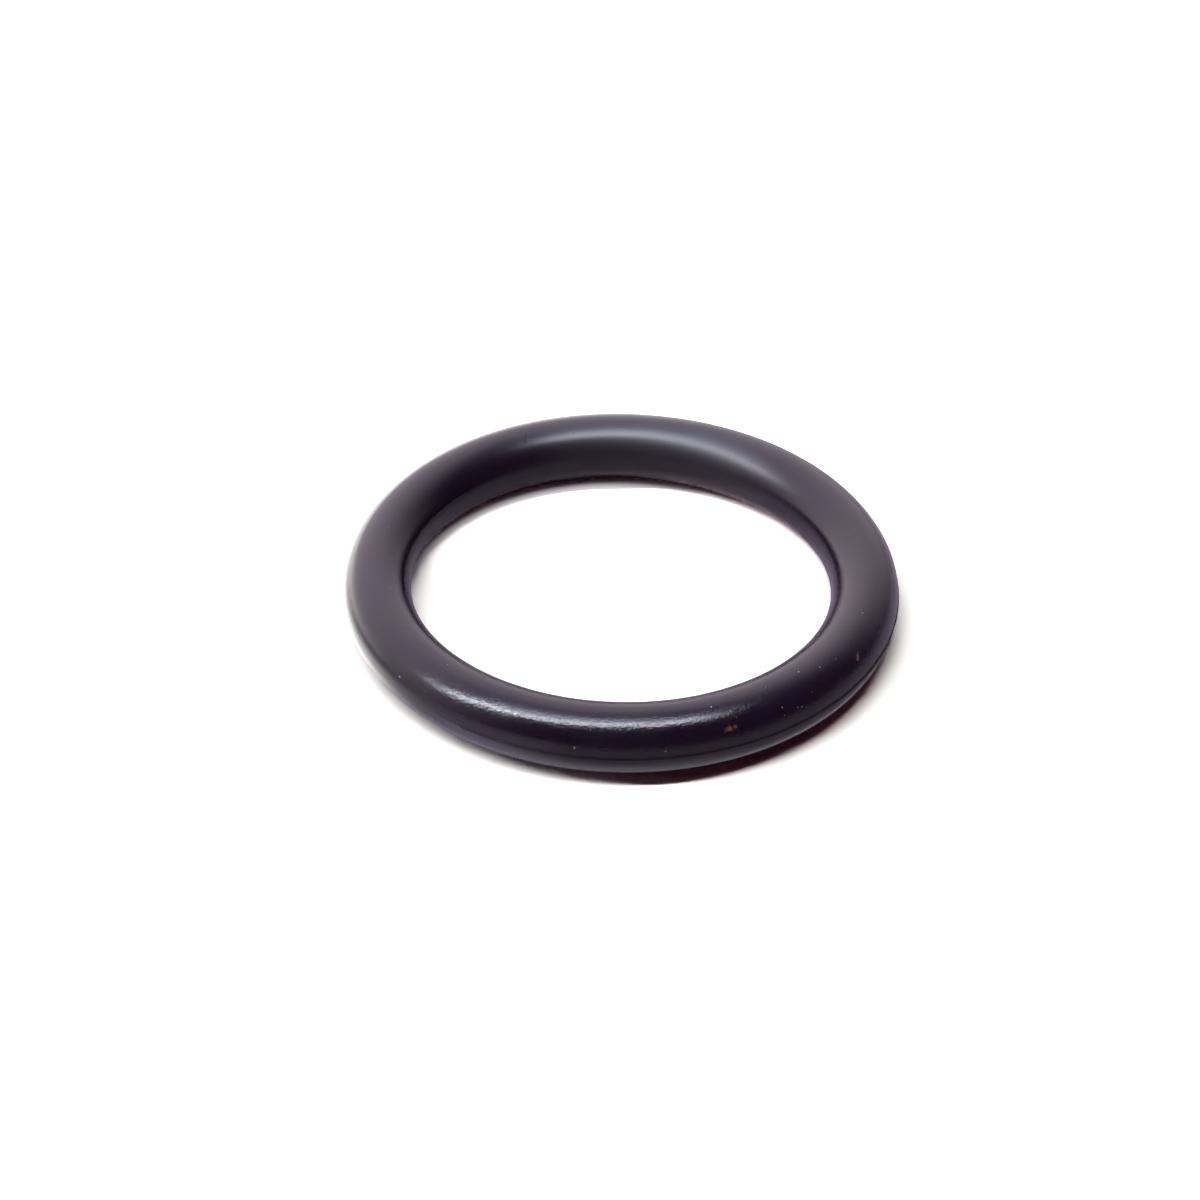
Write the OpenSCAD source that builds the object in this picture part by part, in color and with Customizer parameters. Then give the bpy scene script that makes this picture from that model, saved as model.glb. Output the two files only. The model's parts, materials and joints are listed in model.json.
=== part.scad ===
// Rubber o-ring: one compression-moulded ring with a round section.
// Millimetres, +Z up. The ring lies flat with its axis on Z and its lowest line at z = 0.
// The two mould halves met at mid height, and the flash trimmed off there leaves a fine land
// that runs right round the hole and right round the rim.

/* [Ring] */
// Diameter of the hole, across the round section
inner_diameter = 21.82; // [8:0.01:60]
// Diameter of the round section
section_diameter = 3.53; // [1.5:0.01:7]

/* [Moulding line] */
// Width of the trimmed flash, along the ring's axis
flash_width = 0.12; // [0.05:0.01:0.3]
// How far the trimmed flash stands out of the round section
flash_height = 0.03; // [0.01:0.01:0.1]

/* [Hidden] */
section_radius = section_diameter / 2;
// From the ring's axis to the middle of the section
ring_radius = inner_diameter / 2 + section_radius;
// From the tip of the inner land to the tip of the outer one
section_over_flash = section_diameter + 2 * flash_height;
// Segments round the section and round the ring
$fn = 180;

// The section where the mould halves filled it: a full round with a land at each side
module moulded_section() {
  circle(r = section_radius);
  square([section_over_flash, flash_width], center = true);
}

// The whole ring, turned about its axis in one piece
module o_ring() {
  color([0.13, 0.12, 0.14])
    rotate_extrude()
      translate([ring_radius, section_radius])
        moulded_section();
}

o_ring();
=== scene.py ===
import json
from math import cos, pi, radians, sin

import bmesh
import bpy
from mathutils import Matrix, Vector, noise


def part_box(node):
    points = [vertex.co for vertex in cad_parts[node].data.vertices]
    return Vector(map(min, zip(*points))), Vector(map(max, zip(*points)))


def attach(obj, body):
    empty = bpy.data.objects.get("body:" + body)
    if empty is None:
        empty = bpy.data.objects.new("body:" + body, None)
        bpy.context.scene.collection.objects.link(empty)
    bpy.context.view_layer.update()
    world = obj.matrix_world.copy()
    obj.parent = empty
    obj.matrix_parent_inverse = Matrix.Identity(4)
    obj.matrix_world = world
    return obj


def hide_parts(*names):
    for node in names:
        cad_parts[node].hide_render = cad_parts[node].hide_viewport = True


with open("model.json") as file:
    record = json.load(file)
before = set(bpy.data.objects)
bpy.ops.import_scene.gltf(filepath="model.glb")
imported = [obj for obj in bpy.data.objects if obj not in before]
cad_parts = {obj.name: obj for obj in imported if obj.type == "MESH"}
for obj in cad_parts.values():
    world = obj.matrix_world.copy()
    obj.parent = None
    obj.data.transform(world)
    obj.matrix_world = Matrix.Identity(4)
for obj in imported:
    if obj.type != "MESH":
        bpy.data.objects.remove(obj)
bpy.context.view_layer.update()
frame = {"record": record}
mm = 0.001

# Everything here is in metres, with the ring flat on z = 0 and its axis on Z.
low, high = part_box("o_ring")
mounts = {m["name"]: m for m in frame["record"]["mounts"]}
landWidth = mounts["rim"]["dims"]["length_mm"] * mm
rimRadius = mounts["rim"]["dims"]["r_mm"] * mm      # over the trimmed flash
holeRadius = mounts["hole"]["dims"]["r_mm"] * mm    # inside the trimmed flash
sectionRadius = (high.z - low.z) / 2
midHeight = (high.z + low.z) / 2
ringRadius = (rimRadius + holeRadius) / 2
landHeight = (rimRadius - holeRadius) / 2 - sectionRadius
print("frame loaded, section", round(2 * sectionRadius / mm, 2), "mm")


def directionOf(heading):
    # level direction at a heading in degrees, from +X towards +Y
    return Vector((cos(radians(heading)), sin(radians(heading)), 0))


def skinPoint(ringAngle, sectionAngle):
    # ring angle: from +X towards +Y; section angle: from the rim (0) over the top (90) to the hole (180)
    turn, tilt = radians(ringAngle), radians(sectionAngle)
    reach = ringRadius + sectionRadius * cos(tilt)
    return Vector((reach * cos(turn), reach * sin(turn), midHeight + sectionRadius * sin(tilt)))


# Camera

# distance and elevation: from the middle of the ring; pitch, yaw and roll: where it looks
cameraSetup = dict(
    lens=127.3, sensor=36.0, distance=220.9 * mm, elevation=36.65,
    pitch=36.86, yaw=-0.35, roll=1.04, clipStart=10 * mm,
)


def addCamera(s):
    camera = bpy.data.objects.new("camera", bpy.data.cameras.new("camera"))
    bpy.context.scene.collection.objects.link(camera)
    camera.data.lens = s["lens"]
    camera.data.sensor_width = s["sensor"]
    camera.data.clip_start = s["clipStart"]
    tilt = radians(s["elevation"])
    place = Vector((0, -cos(tilt), sin(tilt))) * s["distance"] + Vector((0, 0, midHeight))
    turn = (
        Matrix.Rotation(radians(-s["yaw"]), 4, "Z")
        @ Matrix.Rotation(radians(90 - s["pitch"]), 4, "X")
        @ Matrix.Rotation(radians(s["roll"]), 4, "Z")
    )
    camera.matrix_world = Matrix.Translation(place) @ turn
    bpy.context.scene.camera = camera


addCamera(cameraSetup)
print("camera set")


# Ring

ringShape = dict(
    sectionSteps=92,        # a side of this polygon is as wide as the land
    arcSteps=90,            # steps in an eighth of the ring
    landWave=0.45,          # share of the land's height that comes and goes round the ring
    landWaveLength=1.1 * mm,
    cleanLand=0.10,         # share of its height in the hole, and where the flash came away clean
    highestCrest=0.97,      # as a share of the solid's land
    stripRise=0.25, stripReach=0.5,    # how far off its middle a face of the strip may lie, in land widths
    landRise=0.6,                      # and a face of the drawn land
    mergeWithin=0.001 * mm,
    sharpFrom=40.0,         # edges steeper than this, in degrees, are shaded sharp
)

# the side of the rim on which the flash was torn off: where the land begins to stand, and to be matt
tornSide = dict(heading=-45.0, stand=-1.0 * mm, stood=5.0 * mm, start=3.0 * mm, full=10.0 * mm)
tornDirection = directionOf(tornSide["heading"])


def addRing(s):
    mesh = bpy.data.meshes.new("ring")
    ring = bpy.data.objects.new("ring", mesh)
    bpy.context.scene.collection.objects.link(ring)
    bm = bmesh.new()

    # a round section with one side of its polygon square to the ring at the rim and at the hole
    section = bmesh.ops.create_circle(bm, segments=s["sectionSteps"], radius=sectionRadius)
    halfStep = Matrix.Rotation(pi / s["sectionSteps"], 3, "Z")
    stand = Matrix.Rotation(radians(90), 3, "X")
    bmesh.ops.transform(bm, matrix=(stand @ halfStep).to_4x4(), verts=section["verts"])
    bmesh.ops.translate(bm, vec=(ringRadius, 0, midHeight), verts=section["verts"])
    bmesh.ops.spin(
        bm, geom=bm.verts[:] + bm.edges[:], axis=(0, 0, 1), cent=(0, 0, 0),
        steps=s["arcSteps"], angle=radians(45),
    )
    for arc in (45, 90, 180):
        copied = bmesh.ops.duplicate(bm, geom=bm.verts[:] + bm.edges[:] + bm.faces[:])["geom"]
        bmesh.ops.rotate(
            bm, cent=(0, 0, 0), matrix=Matrix.Rotation(radians(arc), 3, "Z"),
            verts=[v for v in copied if isinstance(v, bmesh.types.BMVert)],
        )
    bmesh.ops.remove_doubles(bm, verts=bm.verts, dist=s["mergeWithin"])
    bmesh.ops.recalc_face_normals(bm, faces=bm.faces)

    # the trimmed flash: the strip of faces at mid height, drawn out at the rim and at the hole
    for side in (1, -1):
        edge = ringRadius + side * sectionRadius
        strip = [
            f for f in bm.faces
            if abs(f.calc_center_median().z - midHeight) < s["stripRise"] * landWidth
            and abs(f.calc_center_median().xy.length - edge) < s["stripReach"] * landWidth
        ]
        drawn = bmesh.ops.extrude_face_region(bm, geom=strip)
        bmesh.ops.delete(bm, geom=strip, context="FACES")
        crest = [v for v in drawn["geom"] if isinstance(v, bmesh.types.BMVert)]
        for v in crest:
            standing = (v.co.dot(tornDirection) - tornSide["stand"]) / (tornSide["stood"] - tornSide["stand"])
            standing = min(max(standing, 0), 1) if side > 0 else 0
            share = s["cleanLand"] + (1 - s["cleanLand"]) * standing ** 2 * (3 - 2 * standing)
            wave = noise.noise(v.co / s["landWaveLength"]) * s["landWave"]
            height = landHeight * (s["highestCrest"] - s["landWave"] / 2 + wave / 2) * share
            v.co.xy = v.co.xy.normalized() * (ringRadius + side * (sectionRadius + height))
    bmesh.ops.recalc_face_normals(bm, faces=bm.faces)
    for f in bm.faces:
        f.smooth = True
        middle = f.calc_center_median()
        onLand = abs(middle.z - midHeight) < s["landRise"] * landWidth and middle.xy.length > ringRadius
        f.material_index = 1 if onLand and middle.dot(tornDirection) > tornSide["start"] else 0
    for e in bm.edges:
        if e.is_manifold and e.calc_face_angle() > radians(s["sharpFrom"]):
            e.smooth = False
    bm.to_mesh(mesh)
    bm.free()
    return ring


ring = addRing(ringShape)
print("ring shaped,", len(ring.data.polygons), "faces")


# Node helpers

def addNode(tree, kind, inputs=None, **settings):
    node = tree.nodes.new("ShaderNode" + kind)
    for name, value in settings.items():
        setattr(node, name, value)
    for name, value in (inputs or {}).items():
        if isinstance(value, bpy.types.NodeSocket):
            tree.links.new(value, node.inputs[name])
        else:
            node.inputs[name].default_value = value
    return node


def chain(tree, operation, *values):
    # one operation, carried along two or more values
    total = values[0]
    for value in values[1:]:
        total = addNode(tree, "Math", {0: total, 1: value}, operation=operation).outputs[0]
    return total


def fade(tree, value, start, end, low=0.0, high=1.0):
    ranged = addNode(tree, "MapRange", {
        "Value": value, "From Min": start, "From Max": end, "To Min": low, "To Max": high,
    }, interpolation_type="SMOOTHSTEP")
    return ranged.outputs["Result"]


def blendColours(tree, factor, first, second):
    mixed = addNode(tree, "Mix", {0: factor}, data_type="RGBA")
    for socket, colour in ((6, first), (7, second)):
        if isinstance(colour, bpy.types.NodeSocket):
            tree.links.new(colour, mixed.inputs[socket])
        else:
            mixed.inputs[socket].default_value = (*colour, 1)
    return mixed.outputs[2]


def newGroup(name, takes, gives):
    group = bpy.data.node_groups.new(name, "ShaderNodeTree")
    for socketName, kind, value in takes:
        socket = group.interface.new_socket(socketName, in_out="INPUT", socket_type="NodeSocket" + kind)
        socket.default_value = value
    for socketName, kind in gives:
        group.interface.new_socket(socketName, in_out="OUTPUT", socket_type="NodeSocket" + kind)
    return group, group.nodes.new("NodeGroupInput"), group.nodes.new("NodeGroupOutput")


def useGroup(tree, group, **values):
    node = tree.nodes.new("ShaderNodeGroup")
    node.node_tree = group
    for name, value in values.items():
        if isinstance(value, bpy.types.NodeSocket):
            tree.links.new(value, node.inputs[name])
        else:
            node.inputs[name].default_value = value
    return node


# Surface effects, measured in millimetres over the ring

# noise per millimetre, the contrast of two of the noises, and where in Y the skin grows calm
grainPattern = dict(
    fineScale=9.0, slowScale=0.9, mottleScale=0.35, glintScale=5.5,
    glintContrast=(0.35, 0.65), mottleContrast=(0.3, 0.7),
    calmStart=-4.0, calmFull=8.0,
)


def makeGrain(s):
    # moulded skin: fine grain, slower unevenness, glint and mottle
    group, takes, gives = newGroup(
        "mouldedGrain",
        [("Fine", "Float", 1.0), ("Slow", "Float", 1.0), ("Calm", "Float", 1.0)],
        [("Height", "Float"), ("Glint", "Float"), ("Mottle", "Float")],
    )
    place = addNode(group, "TexCoord").outputs["Object"]
    inMm = addNode(group, "VectorMath", {0: place, "Scale": 1 / mm}, operation="SCALE").outputs[0]
    fine = addNode(group, "TexNoise", {
        "Vector": inMm, "Scale": s["fineScale"], "Detail": 1.0, "Roughness": 0.5,
    })
    slow = addNode(group, "TexNoise", {
        "Vector": inMm, "Scale": s["slowScale"], "Detail": 2.0, "Roughness": 0.5,
    })
    height = chain(
        group, "ADD",
        chain(group, "MULTIPLY", fine.outputs["Fac"], takes.outputs["Fine"]),
        chain(group, "MULTIPLY", slow.outputs["Fac"], takes.outputs["Slow"]),
    )
    backward = addNode(group, "SeparateXYZ", {0: inMm}).outputs["Y"]
    calmed = fade(group, backward, s["calmStart"], s["calmFull"], 1.0, takes.outputs["Calm"])
    height = chain(group, "MULTIPLY", height, calmed)
    cloud = addNode(group, "TexNoise", {
        "Vector": inMm, "Scale": s["mottleScale"], "Detail": 4.0, "Roughness": 0.6,
    })
    glint = addNode(group, "TexNoise", {"Vector": inMm, "Scale": s["glintScale"], "Detail": 1.0})
    group.links.new(height, gives.inputs["Height"])
    glint = chain(group, "MULTIPLY", fade(group, glint.outputs["Fac"], *s["glintContrast"]), calmed)
    group.links.new(glint, gives.inputs["Glint"])
    mottle = chain(group, "MULTIPLY", fade(group, cloud.outputs["Fac"], *s["mottleContrast"]), calmed)
    group.links.new(mottle, gives.inputs["Mottle"])
    return group


def makeDust():
    # specks strewn at random: each Voronoi cell holds one, of its own size, or none
    group, takes, gives = newGroup(
        "strewnDust",
        [("Spacing", "Float", 1.0), ("Largest", "Float", 0.1), ("Share", "Float", 0.5)],
        [("Mask", "Float")],
    )
    place = addNode(group, "TexCoord").outputs["Object"]
    inMm = addNode(group, "VectorMath", {0: place, "Scale": 1 / mm}, operation="SCALE").outputs[0]
    density = chain(group, "DIVIDE", 1.0, takes.outputs["Spacing"])
    cells = addNode(group, "TexVoronoi", {"Vector": inMm, "Scale": density, "Randomness": 1.0})
    distance = chain(group, "MULTIPLY", cells.outputs["Distance"], takes.outputs["Spacing"])
    own = addNode(group, "SeparateColor", {0: cells.outputs["Color"]})
    size = chain(group, "MULTIPLY", own.outputs["Red"], takes.outputs["Largest"])
    nearness = chain(group, "SUBTRACT", 1.0, chain(group, "DIVIDE", distance, size))
    present = chain(group, "LESS_THAN", own.outputs["Green"], takes.outputs["Share"])
    softEdge = 0.5    # share of a speck's radius over which it fades
    mask = chain(group, "MULTIPLY", fade(group, nearness, 0.0, softEdge), present)
    group.links.new(mask, gives.inputs["Mask"])
    return group


def makeSpeck():
    # one ragged speck at a given place of the skin, all in millimetres
    group, takes, gives = newGroup(
        "speck",
        [
            ("Middle", "Vector", (0, 0, 0)), ("Radius", "Float", 0.1), ("Strength", "Float", 1.0),
            ("Rough", "Float", 0.5), ("Ragged", "Float", 0.0), ("Edge", "Float", 0.5),
        ],
        [("Mask", "Float")],
    )
    place = addNode(group, "TexCoord").outputs["Object"]
    inMm = addNode(group, "VectorMath", {0: place, "Scale": 1 / mm}, operation="SCALE").outputs[0]
    away = addNode(group, "VectorMath", {0: inMm, 1: takes.outputs["Middle"]}, operation="DISTANCE")
    share = chain(group, "DIVIDE", away.outputs["Value"], takes.outputs["Radius"])
    bend = chain(group, "SUBTRACT", takes.outputs["Rough"], 0.5)
    bend = chain(group, "MULTIPLY", bend, takes.outputs["Ragged"])
    inside = chain(group, "SUBTRACT", 1.0, chain(group, "ADD", share, bend))
    mask = fade(group, inside, 0.0, takes.outputs["Edge"])
    mask = chain(group, "MULTIPLY", mask, takes.outputs["Strength"])
    group.links.new(mask, gives.inputs["Mask"])
    return group


# Materials

rubberLook = dict(
    skin=(0.0070, 0.0031, 0.0106),
    bloom=(0.0098, 0.0050, 0.0130),      # where the skin has gone slightly dull
    roughness=(0.13, 0.17), glintRoughness=0.08,
    ior=1.5,
    grainDepth=0.014 * mm,
    grain=dict(Fine=0.9, Slow=0.4, Calm=0.0),    # Calm is what is left of it at the back
    dustColour=(0.52, 0.50, 0.53),
    dustDepth=0.02 * mm, dustEdge=0.5, dustRagged=0.6,
    strewn=dict(Spacing=1.25, Largest=0.05, Share=0.30),
    powder=dict(Spacing=0.42, Largest=0.034, Share=0.30),
    strewnStrength=0.45, powderStrength=0.25,
    stainColour=(0.150, 0.062, 0.038), stainEdge=0.9, stainRagged=2.4,
    raggedScale=9.0,                     # of the noise that makes dust and stains ragged
    markRoughness=0.8,
    # the dull places' colour is paler than the skin: partly a painted sheen
    dull=(0.0165, 0.0085, 0.0185), dullRoughness=0.27,
    paleTopColour=(0.0330, 0.0300, 0.0420),
    # a pale band painted on at the back, on the hole's side of the crown: a painted sheen; its edges are
    # outward distances from the middle of the section
    paintedSheenColour=(0.046, 0.048, 0.070), paintedSheenStart=10 * mm, paintedSheenFull=12 * mm,
    paintedSheenOuter=(-0.05 * mm, -0.55 * mm), paintedSheenInner=(-1.15 * mm, -0.75 * mm),
    # the clean flash is painted paler than the torn one: a painted sheen for the gloss its low specular level
    # takes away
    cleanFlashAndSheen=(0.030, 0.025, 0.036),
    tornFlash=(0.0050, 0.0035, 0.0070), tornRoughness=0.75, flashSpecular=0.2,
    flashGrain=dict(Fine=1.0, Slow=0.4, Calm=0.2), flashDepth=0.012 * mm,
)

# dust grains and dried stains as they lie on the photographed ring:
# ring angle, section angle, radius in mm, strength
grains = [
    (-140.5, 23.5, 0.055, 0.9), (-132.5, 89.5, 0.040, 0.6), (-130.5, -16.0, 0.055, 0.8),
    (-98.5, 16.0, 0.050, 0.7), (-80.5, 12.5, 0.035, 0.35),
    (-69.5, 77.0, 0.052, 0.9), (-55.5, 82.0, 0.042, 0.7), (-54.5, 39.5, 0.042, 0.4),
    (-50.0, 27.0, 0.040, 0.35), (-51.0, 29.0, 0.030, 0.35), (-54.5, 26.0, 0.035, 0.22),
    (-46.5, 41.0, 0.035, 0.2), (-46.0, 81.5, 0.042, 0.65), (-41.0, 68.0, 0.045, 0.6),
    (-36.0, 63.5, 0.038, 0.25), (-19.0, 77.5, 0.045, 0.55),
]
stains = [
    (-67.9, 31.5, 0.17, 0.45), (-66.9, 33.0, 0.20, 0.70), (-65.7, 34.5, 0.18, 0.55), (-67.2, 39.5, 0.08, 0.3),
    (-31.2, 38.0, 0.17, 0.8), (-30.6, 41.5, 0.16, 0.9), (-30.0, 45.0, 0.09, 0.5),
]
# where the crown has lost some of its gloss, and is painted paler: partly a painted sheen
dullAndSheenPlaces = [(64.0, 115.0, 12.0, 1.0), (112.0, 112.0, 9.0, 0.5)]
# and is paler in patches on its top at the back
paleTopPlaces = [
    (60.0, 104.0, 3.2, 0.8), (74.0, 104.0, 3.2, 1.0), (88.0, 104.0, 3.2, 1.0), (102.0, 104.0, 3.2, 0.9),
]


def newMaterial(name):
    material = bpy.data.materials.new(name)
    material.use_nodes = True
    tree = material.node_tree
    return material, tree, tree.nodes["Principled BSDF"]


def lie(tree, places, rough, ragged=0.0, edge=1.0, join="ADD"):
    # one mask for all the specks or soft places in a list
    masks = []
    for ringAngle, sectionAngle, radius, strength in places:
        node = useGroup(
            tree, speck, Middle=skinPoint(ringAngle, sectionAngle) / mm, Radius=radius,
            Strength=strength, Rough=rough, Ragged=ragged, Edge=edge,
        )
        masks.append(node.outputs["Mask"])
    return chain(tree, join, *masks)


def rubberSkin(s):
    material, tree, shader = newMaterial("rubberSkin")
    grain = useGroup(tree, mouldedGrain, **s["grain"])
    strewn = useGroup(tree, strewnDust, **s["strewn"]).outputs["Mask"]
    strewn = chain(tree, "MULTIPLY", strewn, s["strewnStrength"])
    powder = useGroup(tree, strewnDust, **s["powder"]).outputs["Mask"]
    powder = chain(tree, "MULTIPLY", powder, s["powderStrength"])
    place = addNode(tree, "TexCoord").outputs["Object"]
    rough = addNode(tree, "TexNoise", {"Vector": place, "Scale": s["raggedScale"] / mm, "Detail": 2.0})
    rough = rough.outputs["Fac"]
    dust = lie(tree, grains, rough, s["dustRagged"], s["dustEdge"], "MAXIMUM")
    dust = chain(tree, "MAXIMUM", dust, strewn, powder)
    stain = lie(tree, stains, rough, s["stainRagged"], s["stainEdge"], "MAXIMUM")

    dullAndSheen = lie(tree, dullAndSheenPlaces, rough)
    mottle = grain.outputs["Mottle"]
    colour = blendColours(tree, mottle, s["skin"], s["bloom"])
    colour = blendColours(tree, dullAndSheen, colour, s["dull"])
    paleTop = lie(tree, paleTopPlaces, rough)
    colour = blendColours(tree, paleTop, colour, s["paleTopColour"])
    spot = addNode(tree, "SeparateXYZ", {0: place})
    level = addNode(tree, "CombineXYZ", {"X": spot.outputs["X"], "Y": spot.outputs["Y"]}).outputs[0]
    reach = addNode(tree, "VectorMath", {0: level}, operation="LENGTH").outputs["Value"]
    outward = chain(tree, "SUBTRACT", reach, ringRadius)
    # painted sheen: the back of the crown painted paler on the hole's side
    paintedSheen = chain(
        tree, "MULTIPLY", fade(tree, outward, *s["paintedSheenOuter"]), fade(tree, outward, *s["paintedSheenInner"]),
        fade(tree, spot.outputs["Y"], s["paintedSheenStart"], s["paintedSheenFull"]),
        chain(tree, "GREATER_THAN", spot.outputs["Z"], midHeight),
    )
    colour = blendColours(tree, paintedSheen, colour, s["paintedSheenColour"])
    colour = blendColours(tree, stain, colour, s["stainColour"])
    colour = blendColours(tree, dust, colour, s["dustColour"])
    tree.links.new(colour, shader.inputs["Base Color"])

    smooth, dull = s["roughness"]
    marks = chain(tree, "MAXIMUM", dust, stain)
    roughness = addNode(tree, "MapRange", {"Value": mottle, "To Min": smooth, "To Max": dull})
    roughness = chain(
        tree, "ADD", roughness.outputs["Result"], chain(tree, "MULTIPLY", dullAndSheen, s["dullRoughness"]),
        chain(tree, "MULTIPLY", grain.outputs["Glint"], s["glintRoughness"]),
    )
    roughness = chain(tree, "MAXIMUM", roughness, chain(tree, "MULTIPLY", marks, s["markRoughness"]))
    tree.links.new(roughness, shader.inputs["Roughness"])
    shader.inputs["IOR"].default_value = s["ior"]

    skin = addNode(tree, "Bump", {"Height": grain.outputs["Height"], "Distance": s["grainDepth"]})
    piled = addNode(tree, "Bump", {
        "Height": dust, "Distance": s["dustDepth"], "Normal": skin.outputs["Normal"],
    })
    tree.links.new(piled.outputs["Normal"], shader.inputs["Normal"])
    return material


def tornFlash(s):
    # the crest of the land, where the flash was torn off: matt and slightly stringy
    material, tree, shader = newMaterial("tornFlash")
    grain = useGroup(tree, mouldedGrain, **s["flashGrain"])
    place = addNode(tree, "TexCoord").outputs["Object"]
    towards = addNode(tree, "VectorMath", {0: place, 1: tornDirection}, operation="DOT_PRODUCT")
    torn = fade(tree, towards.outputs["Value"], tornSide["start"], tornSide["full"])
    clean = sum(s["roughness"]) / 2
    roughness = addNode(tree, "MapRange", {"Value": torn, "To Min": clean, "To Max": s["tornRoughness"]})
    # the clean end of the flash is painted paler: a painted sheen
    colour = blendColours(tree, torn, s["cleanFlashAndSheen"], s["tornFlash"])
    tree.links.new(colour, shader.inputs["Base Color"])
    tree.links.new(roughness.outputs["Result"], shader.inputs["Roughness"])
    shader.inputs["IOR"].default_value = s["ior"]
    shader.inputs["Specular IOR Level"].default_value = s["flashSpecular"]
    strings = addNode(tree, "Bump", {"Height": grain.outputs["Height"], "Distance": s["flashDepth"]})
    tree.links.new(strings.outputs["Normal"], shader.inputs["Normal"])
    return material


mouldedGrain = makeGrain(grainPattern)
strewnDust = makeDust()
speck = makeSpeck()
ring.data.materials.append(rubberSkin(rubberLook))
ring.data.materials.append(tornFlash(rubberLook))
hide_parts("o_ring")
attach(ring, "root")
print("materials made")


# Floor and light

floorSetup = dict(
    size=3.0,
    colour=(0.40, 0.22, 0.20),           # as light bounces off it
    # as the camera sees it, overexposed as in the photograph: all over, in the shadow at the front, and in
    # the shadow at the back of the hole
    cameraColour=(1.70, 1.68, 1.66), frontColour=(1.55, 0.85, 1.05), backColour=(4.20, 3.80, 3.85),
    frontHeading=-50.0, frontStart=0.60, frontFull=0.95, frontFade=13.8 * mm, frontEnd=14.5 * mm,
    backStart=2.0 * mm, backFull=9.0 * mm,
    # the white that spills over the edge of the shadow at the back of the hole
    spillGlow=(0.62, 0.62, 0.64), spillStart=1.0 * mm, spillFull=10.0 * mm,
    spillInner=11.15 * mm, spillOuter=11.90 * mm,
    glossyColour=(0.49, 0.40, 0.54),     # as the rubber mirrors it
    glossyShade=(4.20, 2.90, 3.40),      # and in the shadow at the back of the hole
    shadeStart=11.0 * mm, shadeFull=11.4 * mm, shadeFade=12.4 * mm, shadeEnd=12.8 * mm,
    rimInside=12.4 * mm, rimStart=13.4 * mm, rimFull=13.9 * mm,
    # brighter floor outside the rim, which the rubber mirrors too: at its foot, near by and far off
    # towards a window, and to one side
    footGlow=(0.47, 0.45, 0.55), footFade=14.1 * mm, footEnd=14.6 * mm,
    footStart=0.35, footFull=0.0,
    nearGlow=(3.0, 3.1, 2.85), nearFade=15 * mm, nearEnd=21 * mm, nearStart=-0.2, nearFull=0.4,
    sideGlow=(0.30, 0.28, 0.33), sideHeading=-124.0, sideStart=0.906, sideFull=0.99,
    farGlow=(2.1, 2.15, 2.0), farStart=0.5, farFull=0.9,
    windowHeading=125.0,
    roughness=0.25, ior=1.5,
)


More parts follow.
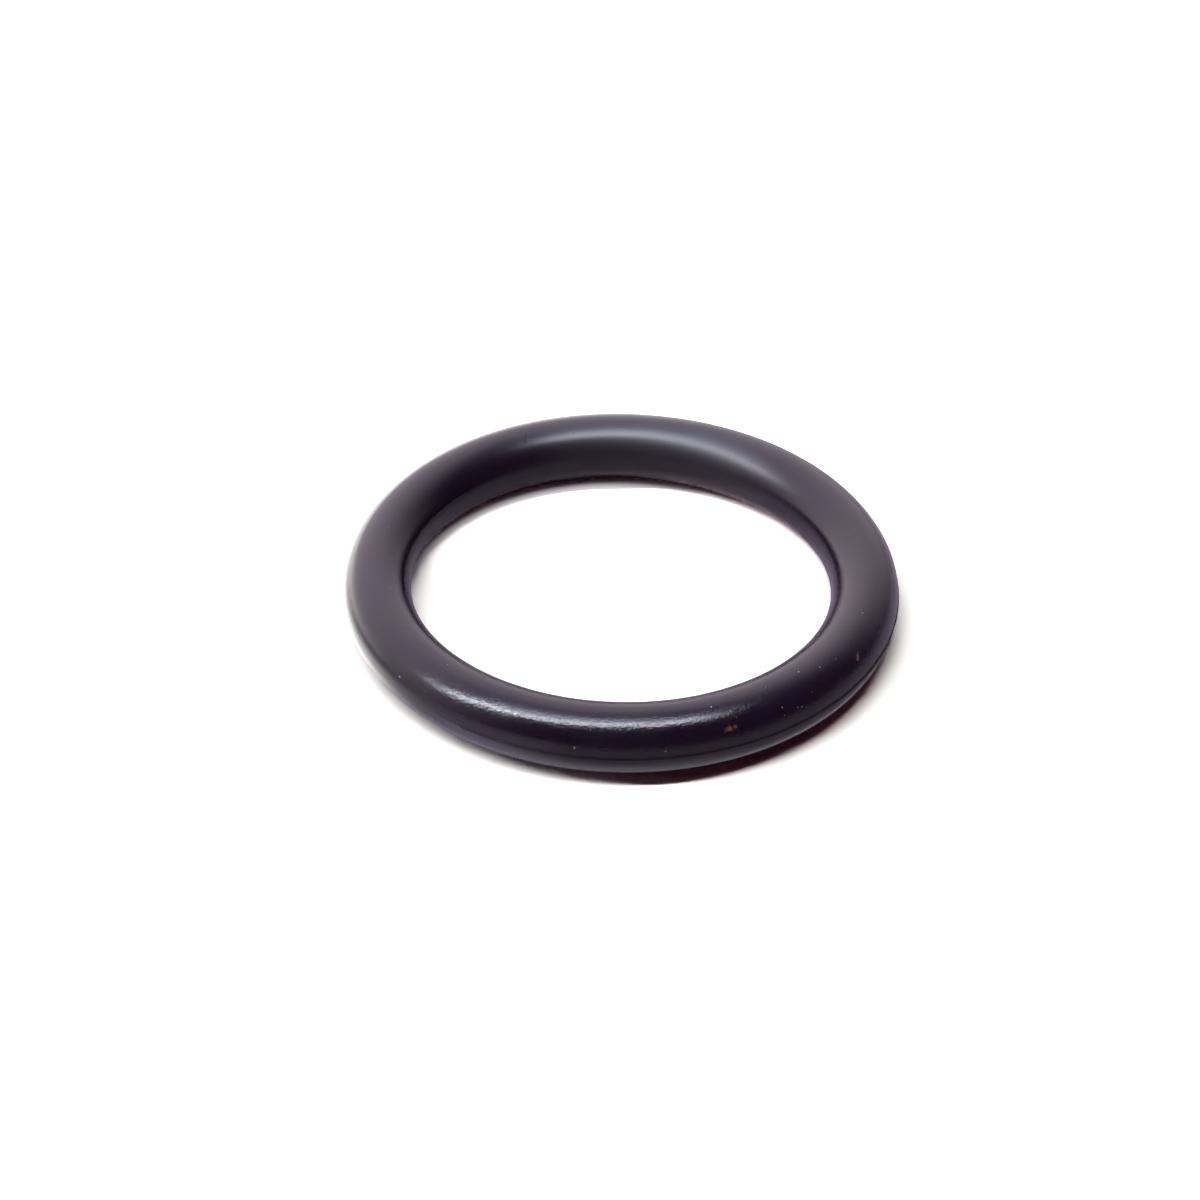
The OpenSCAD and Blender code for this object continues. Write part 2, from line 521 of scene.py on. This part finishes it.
def addFloor(s):
    mesh = bpy.data.meshes.new("floor")
    floor = bpy.data.objects.new("floor", mesh)
    bpy.context.scene.collection.objects.link(floor)
    bm = bmesh.new()
    bmesh.ops.create_grid(bm, x_segments=1, y_segments=1, size=s["size"] / 2)
    bm.to_mesh(mesh)
    bm.free()
    material = bpy.data.materials.new("floorWhite")
    material.use_nodes = True
    tree = material.node_tree
    tree.nodes.clear()
    path = addNode(tree, "LightPath")
    # what the rubber mirrors straight to the camera, and not what it throws back into its shadow
    straight = chain(tree, "LESS_THAN", path.outputs["Diffuse Depth"], 0.5)
    mirrored = chain(tree, "MULTIPLY", path.outputs["Is Glossy Ray"], straight)
    place = addNode(tree, "TexCoord").outputs["Object"]
    reach = addNode(tree, "VectorMath", {0: place}, operation="LENGTH").outputs["Value"]
    way = addNode(tree, "VectorMath", {0: place}, operation="NORMALIZE").outputs[0]

    def towardsHeading(heading):
        ahead = directionOf(heading)
        return addNode(tree, "VectorMath", {0: way, 1: ahead}, operation="DOT_PRODUCT").outputs["Value"]

    front = chain(
        tree, "MULTIPLY", fade(tree, towardsHeading(s["frontHeading"]), s["frontStart"], s["frontFull"]),
        fade(tree, reach, s["rimInside"], s["rimStart"]),
        fade(tree, reach, s["frontFade"], s["frontEnd"], 1.0, 0.0),
    )
    backward = addNode(tree, "SeparateXYZ", {0: place}).outputs["Y"]
    back = chain(
        tree, "MULTIPLY", fade(tree, backward, s["backStart"], s["backFull"]),
        fade(tree, reach, s["rimInside"], s["rimStart"], 1.0, 0.0),
    )
    spill = chain(
        tree, "MULTIPLY", path.outputs["Is Camera Ray"],
        fade(tree, backward, s["spillStart"], s["spillFull"]),
        fade(tree, reach, s["spillInner"], s["spillOuter"], 1.0, 0.0),
    )
    shade = chain(
        tree, "MULTIPLY", back, fade(tree, reach, s["shadeStart"], s["shadeFull"]),
        fade(tree, reach, s["shadeFade"], s["shadeEnd"], 1.0, 0.0),
    )
    inCamera = blendColours(tree, front, s["cameraColour"], s["frontColour"])
    inCamera = blendColours(tree, back, inCamera, s["backColour"])
    inGloss = blendColours(tree, shade, s["glossyColour"], s["glossyShade"])
    colour = blendColours(tree, mirrored, s["colour"], inGloss)
    colour = blendColours(tree, path.outputs["Is Camera Ray"], colour, inCamera)
    matt = addNode(tree, "BsdfDiffuse", {"Color": colour})
    gloss = addNode(tree, "BsdfGlossy", {"Roughness": s["roughness"]})
    edge = addNode(tree, "Fresnel", {"IOR": s["ior"]})
    unseen = chain(tree, "SUBTRACT", 1.0, path.outputs["Is Camera Ray"])
    share = chain(tree, "MULTIPLY", edge.outputs["Fac"], unseen)
    both = addNode(tree, "MixShader", {0: share, 1: matt.outputs["BSDF"], 2: gloss.outputs["BSDF"]})

    towards = towardsHeading(s["windowHeading"])
    close = fade(tree, reach, s["nearFade"], s["nearEnd"], 1.0, 0.0)
    near = chain(tree, "MULTIPLY", fade(tree, towards, s["nearStart"], s["nearFull"]), close)
    far = fade(tree, towards, s["farStart"], s["farFull"])
    foot = fade(tree, reach, s["footFade"], s["footEnd"], 1.0, 0.0)
    foot = chain(tree, "MULTIPLY", foot, fade(tree, towards, s["footFull"], s["footStart"], 1.0, 0.0))
    beside = fade(tree, towardsHeading(s["sideHeading"]), s["sideStart"], s["sideFull"])
    pale = blendColours(tree, beside, (0, 0, 0), s["sideGlow"])
    pale = blendColours(tree, far, pale, s["farGlow"])
    pale = blendColours(tree, near, pale, s["nearGlow"])
    pale = blendColours(tree, foot, pale, s["footGlow"])
    outside = fade(tree, reach, s["rimStart"], s["rimFull"])
    strength = chain(tree, "ADD", chain(tree, "MULTIPLY", mirrored, outside), spill)
    pale = blendColours(tree, path.outputs["Is Camera Ray"], pale, s["spillGlow"])
    glow = addNode(tree, "Emission", {"Color": pale, "Strength": strength})
    lit = addNode(tree, "AddShader", {0: both.outputs["Shader"], 1: glow.outputs["Emission"]})
    addNode(tree, "OutputMaterial", {"Surface": lit.outputs["Shader"]})
    mesh.materials.append(material)


# strips over the ring, from the left to just past its middle: one lights it and the floor, and its
# gloss mirrors the others, which bend like the photographed streak and have a weaker one behind them
lightSetup = [
    dict(
        name="key", start=(-1.9, -0.24, 1.0), end=(0.29, -0.06, 1.0), width=0.06,
        radiance=46.0, colour=(1.0, 0.99, 0.98), mirrored=False,
    ),
    dict(
        name="streakTip", start=(-1.42, -0.25, 1.0), end=(-0.87, -0.230, 1.0), width=0.18,
        radiance=33.0, colour=(0.95, 1.01, 1.10), mirrored=True,
    ),
    dict(
        name="streakLeft", start=(-0.87, -0.226, 1.0), end=(-0.45, -0.245, 1.0), width=0.15,
        radiance=32.5, colour=(0.95, 1.01, 1.10), mirrored=True,
    ),
    dict(
        name="streakRight", start=(-0.45, -0.285, 1.0), end=(0.36, -0.125, 1.0), width=0.22,
        radiance=17.8, colour=(0.95, 1.01, 1.10), mirrored=True,
    ),
    dict(
        name="streakBehind", start=(-0.50, -0.05, 1.0), end=(0.28, 0.05, 1.0), width=0.20,
        radiance=4.4, colour=(0.86, 0.92, 1.2), mirrored=True,
    ),
]


def addStrip(s):
    start, end = Vector(s["start"]), Vector(s["end"])
    light = bpy.data.lights.new(s["name"], "AREA")
    light.shape = "RECTANGLE"
    light.size = (end - start).length
    light.size_y = s["width"]
    light.energy = s["radiance"] * pi * light.size * light.size_y
    light.color = s["colour"]
    lamp = bpy.data.objects.new(s["name"], light)
    bpy.context.scene.collection.objects.link(lamp)
    along = (end - start).normalized()
    across = Vector((0, 0, 1)).cross(along)
    turn = Matrix((along, across, along.cross(across))).transposed().to_4x4()
    lamp.matrix_world = Matrix.Translation((start + end) / 2) @ turn
    lamp.visible_glossy = s["mirrored"]
    lamp.visible_diffuse = not s["mirrored"]


# a pale backdrop behind and to the left, an unlit room in front
worldSetup = dict(
    backdropHeading=125.0,
    fadeStart=-0.45, fadeEnd=1.15,       # on the cosine of the angle from the backdrop's heading
    zenith=0.05,                         # keeps that angle from turning too fast overhead
    backdropLow=(1.92, 1.68, 1.92), backdropHigh=(1.00, 0.97, 1.36),
    highStart=0.76, highEnd=0.92,        # on the sine of the elevation
    # brighter low down at one heading: start and end on the sine of the elevation, edge and full on the
    # cosine of the angle from that heading
    horizon=(2.60, 2.45, 2.50), horizonStart=0.04, horizonEnd=0.22, horizonHeading=150.0,
    horizonEdge=0.85, horizonFull=1.0,
    horizonDim=0.25,                     # how far the backdrop draws in near the horizon
    room=(0.080, 0.036, 0.082),
    mattLow=(0.010, 0.001, 0.003), mattHigh=(0.10, 0.08, 0.08),    # what matt surfaces get of both
)


def addWorld(s):
    world = bpy.data.worlds.new("world")
    world.use_nodes = True
    bpy.context.scene.world = world
    tree = world.node_tree
    direction = addNode(tree, "TexCoord").outputs["Generated"]
    flat = addNode(tree, "VectorMath", {0: direction, 1: (1, 1, 0)}, operation="MULTIPLY").outputs[0]
    flatLength = addNode(tree, "VectorMath", {0: flat}, operation="LENGTH").outputs["Value"]
    ahead = directionOf(s["backdropHeading"])
    facing = addNode(tree, "VectorMath", {0: flat, 1: ahead}, operation="DOT_PRODUCT")
    facing = chain(tree, "DIVIDE", facing.outputs["Value"], chain(tree, "ADD", flatLength, s["zenith"]))
    height = addNode(tree, "SeparateXYZ", {0: direction}).outputs["Z"]
    nearHorizon = fade(tree, height, s["horizonStart"], s["horizonEnd"], 1.0, 0.0)
    drawnIn = chain(tree, "SUBTRACT", facing, chain(tree, "MULTIPLY", nearHorizon, s["horizonDim"]))
    bright = fade(tree, drawnIn, s["fadeStart"], s["fadeEnd"])
    upper = fade(tree, height, s["highStart"], s["highEnd"])
    backdrop = blendColours(tree, upper, s["backdropLow"], s["backdropHigh"])
    beyond = directionOf(s["horizonHeading"])
    inGap = addNode(tree, "VectorMath", {0: flat, 1: beyond}, operation="DOT_PRODUCT").outputs["Value"]
    inGap = chain(tree, "MULTIPLY", fade(tree, inGap, s["horizonEdge"], s["horizonFull"]), nearHorizon)
    backdrop = blendColours(tree, inGap, backdrop, s["horizon"])
    room = blendColours(tree, bright, s["room"], backdrop)
    path = addNode(tree, "LightPath")
    shed = blendColours(tree, bright, s["mattLow"], s["mattHigh"])
    seen = blendColours(tree, path.outputs["Is Diffuse Ray"], room, shed)
    seen = blendColours(tree, path.outputs["Is Camera Ray"], seen, (1, 1, 1))
    tree.links.new(seen, tree.nodes["Background"].inputs["Color"])


addFloor(floorSetup)
for strip in lightSetup:
    addStrip(strip)
addWorld(worldSetup)
bpy.context.scene.view_settings.view_transform = "Standard"
print("floor and light set")
